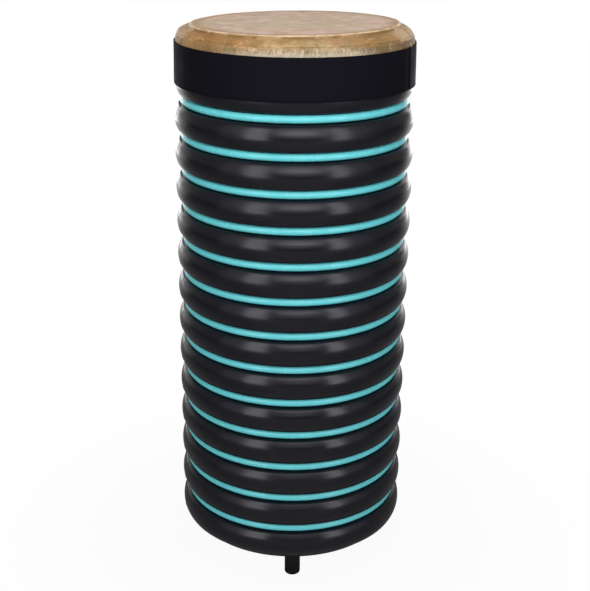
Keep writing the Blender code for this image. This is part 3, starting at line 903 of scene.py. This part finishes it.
def add_legs(leg_material, rubber):
    """Each leg's rod with its spigot, and the rubber tip pushed onto that."""
    steps = [360.0 * i / LEG_STEPS for i in range(LEG_STEPS)]
    for side in LEG_SIDES:
        low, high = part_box(f"leg_{side}")
        tip_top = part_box(f"leg_tip_{side}")[1][2]
        middle = Vector(((low[0] + high[0]) / 2, (low[1] + high[1]) / 2, 0.0))
        shoulder = tip_top + CLEARANCE
        spigot_end = shoulder - SPIGOT_LENGTH
        rod_line = [(0.0, high[2]), (LEG_RADIUS - LEG_CHAMFER, high[2]), (LEG_RADIUS, high[2] - LEG_CHAMFER),
                    (LEG_RADIUS, shoulder + SHOULDER_CHAMFER), (LEG_RADIUS - SHOULDER_CHAMFER, shoulder),
                    (SPIGOT_RADIUS, shoulder), (SPIGOT_RADIUS, spigot_end), (0.0, spigot_end)]
        bore = SPIGOT_RADIUS + CLEARANCE
        bore_floor = tip_top - SPIGOT_LENGTH
        turns = [math.radians(90 * i / TIP_STEPS) for i in range(TIP_STEPS + 1)]
        foot = [(LEG_RADIUS - TIP_EDGE * (1 - math.cos(t)), TIP_EDGE * (1 - math.sin(t))) for t in turns]
        lip = [(bore, tip_top), (LEG_RADIUS - TIP_LIP, tip_top), (LEG_RADIUS, tip_top - TIP_LIP)]
        cup = [(0.0, bore_floor), (bore, bore_floor), *lip, *foot, (0.0, 0.0)]
        rod = turned(f"leg_rod_{side}", rod_line, leg_material, steps, closed=False)
        tip = turned(f"rubber_tip_{side}", cup, rubber, steps, closed=False)
        for piece in (rod, tip):
            piece.data.transform(Matrix.Translation(middle))
        drill(rod, SCREW_SHANK_RADIUS + CLEARANCE, LINER_INSIDE - SCREW_REACH, LINER_INSIDE + DRILL_REACH)
        stands_for(rod, f"leg_{side}")
        stands_for(tip, f"leg_tip_{side}")


def finish_screws(material):
    """The screws show as their solids, so they only get a finish."""
    for name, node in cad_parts.items():
        if name.startswith("leg_screw_"):
            for material_slot in node.material_slots:
                material_slot.material = material


# Studio

WHITE = (1.0, 1.0, 1.0, 1.0)
FLOOR_RADIUS = 40.0
FLOOR_GREY = 0.42
FLOOR_COLOUR = (FLOOR_GREY, FLOOR_GREY, FLOOR_GREY, 1.0)
# Where the floor turns plain white: start, end, share at the start
WHITE_IN_VIEW = (0.10, 0.45, 0.95)      # away from the drum
WHITE_IN_REFLECTIONS = (0.5, 1.5, 0.0)  # towards the backdrop
BACK_SECTOR = (0.5, 0.9)                # cosines from the backdrop's middle between which that comes in
DARK_SIDES = (0.35, 0.95, 1.0, 0.65)    # sideways share between which its reflections go darker
WORLD_LEVEL = 0.22
# Azimuth from the camera's side, distance, height, height aimed at, width, tall, brightness, spread
SOFT_LIGHTS = {"left_front": (-36.0, 1.8, 1.0, 1.0, 0.66, 1.95, 2.6, 180.0),
               "right_front": (41.5, 1.8, 1.0, 1.0, 0.48, 1.95, 2.9, 180.0),
               "left_wing": (-59.0, 1.8, 1.0, 1.0, 0.83, 1.95, 0.33, 180.0),
               "right_wing": (62.5, 1.8, 1.0, 1.0, 0.85, 1.95, 0.27, 180.0),
               "front_fill": (4.5, 1.9, 1.2, 1.2, 1.7, 1.75, 0.92, 180.0),
               "centre_near": (4.5, 0.70, 0.84, 0.55, 0.60, 0.50, 0.40, 75.0),
               "centre_far": (4.5, 1.20, 0.98, 0.72, 1.12, 1.10, 0.08, 55.0),
               "over_head": (0.0, 0.3, 1.9, 0.5, 1.2, 1.2, 1.95, 180.0),
               "left_side": (-130.0, 2.2, 0.5, 0.5, 0.80, 1.0, 0.3, 180.0),
               "left_back": (-154.0, 2.2, 0.55, 0.55, 0.85, 1.1, 2.4, 180.0),
               "right_back": (154.0, 2.2, 0.55, 0.55, 0.85, 1.1, 2.4, 180.0)}
UNREFLECTED = ("front_fill", "over_head")


def add_lights():
    """Soft lights that face the drum's axis, none of them in view."""
    for name, (azimuth, distance, height, aim, width, tall, level, spread) in SOFT_LIGHTS.items():
        lamp = bpy.data.lights.new(name, "AREA")
        lamp.shape = "RECTANGLE"
        lamp.size, lamp.size_y = width, tall
        lamp.energy = level * math.pi * width * tall
        lamp.spread = math.radians(spread)
        holder = bpy.data.objects.new(name, lamp)
        holder.location = around(azimuth, distance, height)
        aimed = Vector((0.0, 0.0, aim)) - holder.location
        holder.rotation_euler = aimed.to_track_quat("-Z", "Y").to_euler()
        holder.visible_camera = False
        holder.visible_glossy = name not in UNREFLECTED
        bpy.context.scene.collection.objects.link(holder)


def ray_is(tree, kind):
    """1 for rays of a kind, such as Camera or Glossy, and 0 for the rest."""
    return tree.nodes.new("ShaderNodeLightPath").outputs[f"Is {kind} Ray"]


def add_world():
    """Plain white in view, and a soft grey light on the drum."""
    world = bpy.data.worlds.new("studio")
    world.use_nodes = True
    bpy.context.scene.world = world
    tree = world.node_tree
    soft = tree.nodes["Background"]
    soft.inputs["Strength"].default_value = WORLD_LEVEL
    soft.inputs["Color"].default_value = WHITE
    white = tree.nodes.new("ShaderNodeBackground")
    white.inputs["Color"].default_value = WHITE
    mix = tree.nodes.new("ShaderNodeMixShader")
    tree.links.new(ray_is(tree, "Camera"), mix.inputs[0])
    tree.links.new(soft.outputs[0], mix.inputs[1])
    tree.links.new(white.outputs[0], mix.inputs[2])
    tree.links.new(mix.outputs[0], tree.nodes["World Output"].inputs["Surface"])


def add_floor():
    """A grey floor that keeps the drum's shadow and fades to white around and behind it."""
    work = bmesh.new()
    bmesh.ops.create_circle(work, cap_ends=True, segments=96, radius=FLOOR_RADIUS)
    mesh = bpy.data.meshes.new("studio_floor")
    work.to_mesh(mesh)
    work.free()
    look = Finish("studio_floor", {"Base Color": FLOOR_COLOUR, "Roughness": 0.9, "Specular IOR Level": 0.1})
    mesh.materials.append(look.material)
    floor = bpy.data.objects.new("studio_floor", mesh)
    floor.location.z = -0.0002
    bpy.context.scene.collection.objects.link(floor)
    away = look.node("ShaderNodeVectorMath", {0: look.place}, output=1, operation="LENGTH")
    glossy = ray_is(look.tree, "Glossy")

    def share_of_away(length):
        return look.maths("DIVIDE", length, look.maths("ADD", away, 0.001))

    sideways = share_of_away(look.maths("ABSOLUTE", look.axis(0)))
    level = look.maths("MULTIPLY", look.ramp(sideways, *DARK_SIDES), FLOOR_GREY)
    grey = look.node("ShaderNodeCombineXYZ", dict.fromkeys("XYZ", level))
    look.set(base_color=look.mix(glossy, FLOOR_COLOUR, grey))
    back = look.axis(1)
    behind = look.maths("MULTIPLY", look.ramp(back, *WHITE_IN_REFLECTIONS),
                        look.ramp(share_of_away(back), *BACK_SECTOR))
    in_view = look.maths("MULTIPLY", look.ramp(away, *WHITE_IN_VIEW), ray_is(look.tree, "Camera"))
    share = look.maths("ADD", in_view, look.maths("MULTIPLY", behind, glossy))
    white = look.tree.nodes.new("ShaderNodeEmission")
    mix = look.tree.nodes.new("ShaderNodeMixShader")
    look.tree.links.new(share, mix.inputs[0])
    look.tree.links.new(look.shader.outputs[0], mix.inputs[1])
    look.tree.links.new(white.outputs[0], mix.inputs[2])
    look.tree.links.new(mix.outputs[0], look.tree.nodes["Material Output"].inputs["Surface"])


def add_camera():
    """The photograph's camera, from its fitted place, pan, tilt and roll."""
    tilt, pan, roll = CAMERA_TILT_DOWN, CAMERA_PAN, CAMERA_ROLL
    right = Vector((math.cos(pan), -math.sin(pan), 0.0))
    forward = Vector((math.sin(pan) * math.cos(tilt), math.cos(pan) * math.cos(tilt), -math.sin(tilt)))
    up = right.cross(forward)
    right, up = right * math.cos(roll) + up * math.sin(roll), up * math.cos(roll) - right * math.sin(roll)
    turn = Matrix.Rotation(math.radians(CAMERA_AZIMUTH), 4, "Z")
    axes = Matrix((right, up, -forward)).transposed().to_4x4()
    lens = bpy.data.cameras.new("camera")
    lens.lens = CAMERA_LENS
    lens.sensor_fit = "VERTICAL"
    lens.sensor_height = SENSOR
    camera = bpy.data.objects.new("camera", lens)
    camera.matrix_world = turn @ Matrix.Translation((0.0, -CAMERA_DISTANCE, CAMERA_HEIGHT)) @ axes
    bpy.context.scene.collection.objects.link(camera)
    bpy.context.scene.camera = camera


def main():
    """Make the studio and every seen piece."""
    add_camera()
    add_lights()
    add_world()
    add_floor()
    add_pipe(pipe_finish())
    add_cords(cord_finish())
    add_head_skin(skin_finish())
    add_hair(hair_finish())
    add_lashing(lashing_finish())
    add_band(band_finish())
    add_legs(leg_finish(), rubber_finish())
    finish_screws(zinc_finish())
    bpy.context.scene.view_settings.view_transform = "Standard"


main()
